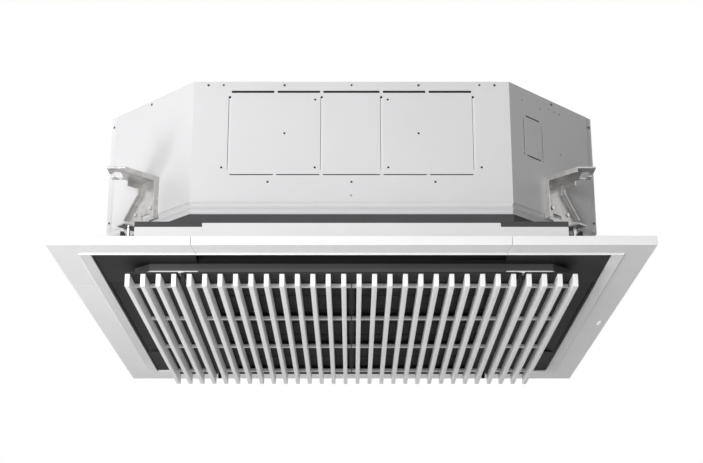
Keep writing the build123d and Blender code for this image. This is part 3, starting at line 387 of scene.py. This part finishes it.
def repeat(piece, count, step):
    """Copies a piece in a row, each one step, in metres, from the last."""
    array = piece.modifiers.new("repeat", "ARRAY")
    array.count = count
    array.use_relative_offset = False
    array.use_constant_offset = True
    array.constant_offset_displace = step
    bpy.ops.object.modifier_apply(modifier="repeat")


def joined(name, pieces):
    """Makes one piece of several."""
    bpy.ops.object.select_all(action="DESELECT")
    for piece in pieces:
        piece.select_set(True)
    bpy.context.view_layer.objects.active = pieces[0]
    bpy.ops.object.join()
    bpy.context.object.name = name
    return bpy.context.object


# %% Slats
pitch = 25 * mm
slat_width = 8 * mm
slat_edge = 0.8
rail_spacing = 208.333 * mm
rail_count = 4
rail_half_width = 4 * mm
rail_height = 5.5 * mm
rail_drop = 1.7 * mm


def slat_row(node, first, count, body):
    """Slats from the left one's middle, first, and the four rails that tie them."""
    low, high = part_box(node)
    left = first - slat_width / 2
    one = box_piece("slat", (left, low.y, low.z), (first + slat_width / 2, high.y, high.z), slat_edge, 3)
    repeat(one, count, (pitch, 0, 0))
    top = high.z - rail_drop
    start = -(rail_count - 1) / 2 * rail_spacing
    rail = box_piece("rail", (low.x, start - rail_half_width, top - rail_height),
                     (high.x, start + rail_half_width, top), slat_edge)
    repeat(rail, rail_count, (0, rail_spacing, 0))
    row = joined(node + "_row", [one, rail])
    smoothed(row)
    row.data.materials.append(slat_white)
    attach(row, body)
    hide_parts(node)
    return row


slat_row("wing_slats_left", -14.5 * pitch, 4, "housing")
slat_row("wing_slats_right", 11.5 * pitch, 4, "housing")
slat_row("grille_slats_left", -10.5 * pitch, 11, "intake_grille")
row = slat_row("grille_slats_right", 0.5 * pitch, 11, "intake_grille")
print("faces in one half of the grille:", len(row.data.polygons))

# %% [markdown]
# Above the slats lies a washable filter: a dark net so fine that from the room it looks like a sheet. The
# frame of the net is in the solid; the net itself is a thin sheet with a woven relief from two crossed waves.

# %% Filter net
weave_scale = 160.0
weave_relief = 0.6
net_inset = 2 * mm
net_bottom = 0.7 * mm
net_top = 1.1 * mm
net_dark = finish("net_dark", (0.009, 0.009, 0.010), 0.6, grain=1.0, spread=0.1, relief=0.1, shine=0.25)
tree = net_dark.node_tree
weave = tree.nodes.new("ShaderNodeMath")
weave.operation = "ADD"
for socket, direction in zip(weave.inputs, ("X", "Y")):
    wave = tree.nodes.new("ShaderNodeTexWave")
    wave.bands_direction = direction
    wave.inputs["Scale"].default_value = weave_scale
    tree.links.new(tree.nodes["Texture Coordinate"].outputs["Object"], wave.inputs["Vector"])
    tree.links.new(wave.outputs["Fac"], socket)
bump = tree.nodes["Bump"]
bump.inputs["Strength"].default_value = weave_relief
tree.links.new(weave.outputs[0], bump.inputs["Height"])
low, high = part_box("air_filter")
net = box_piece("filter_net", (low.x + net_inset, low.y + net_inset, low.z + net_bottom),
                (high.x - net_inset, high.y - net_inset, low.z + net_top), 0.1, 1)
net.data.materials.append(net_dark)
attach(net, "intake_grille")
print("net:", round(high.x - low.x, 3), "by", round(high.y - low.y, 3), "m")

# %% [markdown]
# The tray, the drum and the ring are thin mouldings, and the duct block is cut from thick foam, so its edges
# are the softest. Each keeps its own finish, so that the dark pieces can be told apart.

# %% Tray, drum, ring and duct
panel_parts = [("panel_tray", tray_dark, 0.4, "tray_dark"), ("intake_drum", drum_grey, 0.5, "drum_dark"),
               ("intake_ring", ring_white, 0.5, "ring_white"), ("duct_block", foam_white, 0.8, "foam_white")]
for name, material, width, slot_name in panel_parts:
    rounded(name, material, width)
print("panel pieces rounded:", len(panel_parts))

# %% [markdown]
# The brackets are bent from 3 mm galvanised sheet. Their cut edges are slightly rolled by the press, and that
# thin bright line along each edge is what makes them look like metal.

# %% Hangers
hanger_edge = 0.5
for corner in corners:
    hanger = rounded("hanger_" + corner, galvanised, hanger_edge)
print("faces in a hanger:", len(hanger.data.polygons))

# %% [markdown]
# The side sheets stand on a foot with two swages, long pressed hollows that stiffen it. A thin sheet bends
# crisply, so the copies are shaded flat, and the hollows are drawn in a little more, to show as lines. The rear
# sheet has openings for the pipes and the front one gets more cuts below, so these two keep sharp edges: a
# bevel on a large face with openings would leave long creases in it.

# %% Side sheets
swage_levels = (4.0, 14.6)
level_play = 0.5
draw_in = 0.9976
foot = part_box("casing_front")[0].z
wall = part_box("casing_front")[0].y


def pressed(piece):
    """Draws the hollows of the two swages a little deeper, and shades the bends as crisp ones."""
    for vertex in piece.data.vertices:
        level = (vertex.co.z - foot) / mm
        if min(abs(level - swage) for swage in swage_levels) < level_play:
            vertex.co.x *= draw_in
            vertex.co.y *= draw_in
    bpy.ops.object.shade_flat()
    return piece


for name, width in (("casing_rear", 0), ("casing_left", 0.25), ("casing_right", 0.25)):
    pressed(rounded(name, sheet_satin, width, 1))
rounded("casing_lid", sheet_satin, 0.25, 1, crease=12)
front = pressed(rounded("casing_front", sheet_satin, 0))
print("foot of the sheets at", round(foot / mm, 1), "mm")

# %% [markdown]
# The front sheet carries the fine work of the press shop, and all of it is cut from its copy by one Boolean
# modifier. First come the small pierced holes beside the knock-outs, each made by a ten-sided pin. Places are
# in mm; on the right chamfer a pin is turned by 45 degrees, and its y follows from its x.

# %% Pins for the pierced holes
hole_radius = 1.9
pin_length = 5
chamfer_sum = 680
hole_rows = [(254.0, (-59.6, 59.6)), (194.4, (-109.6, 109.6)), (134.7, (-211, -59.6, 59.6, 211)),
             (109.8, (-135.6, 0, 135.6)), (86.0, (0,))]
chamfer_holes = [(284.4, 264), (319.6, 263.5), (335.5, 268), (345.7, 268), (355.8, 268), (284.6, 168.7),
                 (319.8, 168.2), (355.4, 194)]


def pin(x, y, z, turn=0.0):
    """A pin that goes through the sheet at a place in metres, turned about the upright."""
    bpy.ops.object.select_all(action="DESELECT")
    bpy.ops.mesh.primitive_cylinder_add(vertices=10, radius=hole_radius * mm, depth=pin_length * mm,
                                        location=(x, y, z), rotation=(math.radians(90), 0, math.radians(turn)))
    return bpy.context.object


cutters = [pin(x * mm, wall, z * mm) for z, places in hole_rows for x in places]
cutters += [pin(x * mm, (x - chamfer_sum) * mm, z * mm, 45) for x, z in chamfer_holes]
print("pierced holes:", len(cutters))

# %% [markdown]
# Between the knock-outs run four pressed V lines, steep on the left and flat on the right, so that each shows
# a dark line beside a lighter one. A five-sided prism becomes the cutter: its vertices are moved to the
# corners of the V, given across the sheet and into it.

# %% Prisms for the V lines
line_places = (-200, -49, 49, 200)
line_length = 128
line_middle = 195
line_corners = [(-1.9, -0.4), (3.5, -0.4), (-1.2, 1.05), (-1.2, 2.5), (-1.9, 2.5)]
for x in line_places:
    bpy.ops.object.select_all(action="DESELECT")
    bpy.ops.mesh.primitive_cylinder_add(vertices=len(line_corners), radius=1 * mm, depth=line_length * mm,
                                        location=(0, 0, 0))
    line = bpy.context.object
    for vertex in line.data.vertices:
        across, depth = line_corners[vertex.index // 2]
        vertex.co.x = x * mm + across * mm
        vertex.co.y = wall + depth * mm
        vertex.co.z += line_middle * mm
    cutters.append(line)
print("V lines:", len(line_places), "of", line_length, "mm")

# %% [markdown]
# The bends at the top of each swage are so sharp that they read as fine dark lines. Thin bars cut these lines
# along the front and both front chamfers. They stop short of the corners, because cutters that overlap would
# spoil the Boolean.

# %% Bars for the lines of the foot
groove_levels = (20.4, 8.6)
groove_depth = 1.6
groove_height = 0.5
front_reach = 420
chamfer_reach = chamfer_sum / math.sqrt(2)


def groove(side, z, length):
    """A fine cutting bar along the front, side 0, or along a front chamfer, side -1 or 1."""
    turn = math.radians(45 * side)
    outward = (front_reach if side == 0 else chamfer_reach) * mm
    place = (outward * math.sin(turn), -outward * math.cos(turn), z * mm)
    bpy.ops.object.select_all(action="DESELECT")
    bpy.ops.mesh.primitive_cube_add(size=1, location=place, rotation=(0, 0, turn))
    bar = bpy.context.object
    bar.scale = (length * mm, groove_depth * mm, groove_height * mm)
    return bar


for side, length in ((-1, 221), (0, 516), (1, 221)):
    for level in groove_levels:
        cutters.append(groove(side, foot / mm + level, length))
print("cutters:", len(cutters))

# %% Cut the front sheet
cutter = joined("cutter", cutters)
bpy.ops.object.transform_apply(location=True, rotation=True, scale=True)
bpy.ops.object.mode_set(mode="EDIT")
bpy.ops.mesh.select_all(action="SELECT")
bpy.ops.mesh.normals_make_consistent(inside=False)
bpy.ops.object.mode_set(mode="OBJECT")
cut = front.modifiers.new("cut", "BOOLEAN")
cut.object = cutter
cut.solver = "EXACT"
bpy.ops.object.select_all(action="DESELECT")
front.select_set(True)
bpy.context.view_layer.objects.active = front
bpy.ops.object.modifier_apply(modifier="cut")
bpy.ops.object.shade_flat()
bpy.data.objects.remove(cutter)
print("faces in the front sheet:", len(front.data.polygons))

# %% [markdown]
# Three flat rivet heads hold the front sheet to the flange of the lid. They stand a little proud of the sheet.

# %% Rivets of the front sheet
rivet_places = (-211, 0, 211)
rivet_level = 279.7
rivet_radius = 1.7
rivet_height = 0.8
rivet_out = 0.3
rivets = []
for x in rivet_places:
    place = (x * mm, wall - rivet_out * mm, rivet_level * mm)
    bpy.ops.object.select_all(action="DESELECT")
    bpy.ops.mesh.primitive_cylinder_add(vertices=12, radius=rivet_radius * mm, depth=rivet_height * mm,
                                        location=place, rotation=(math.radians(90), 0, 0))
    rivets.append(bpy.context.object)
rivet = joined("front_rivets", rivets)
bpy.ops.object.transform_apply(location=True, rotation=True, scale=True)
rivet.data.materials.append(screw_dark)
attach(rivet, "housing")
print("rivets:", len(rivets))

# %% [markdown]
# The body's screws are dark where they sit in the sheet and zinc plated where they hold the hangers, further
# out. The panel's screws are the other way about: zinc above, dark washers below. A second material slot, given
# to the faces by their place, makes the difference.

# %% Screws
screw_edge = 0.3
hanger_screw_reach = 2.5 * mm
washer_level = -3 * mm
screws = rounded("body_screws", screw_dark, screw_edge)
screws.data.materials.append(zinc)
for face in screws.data.polygons:
    beyond = (abs(face.center.x) + abs(face.center.y)) / math.sqrt(2) - chamfer_reach * mm
    if beyond > hanger_screw_reach:
        face.material_index = 1
bolts = rounded("panel_bolts", zinc, screw_edge)
bolts.data.materials.append(tray_dark)
for face in bolts.data.polygons:
    if face.center.z < washer_level:
        face.material_index = 1
print("screw faces:", len(screws.data.polygons))
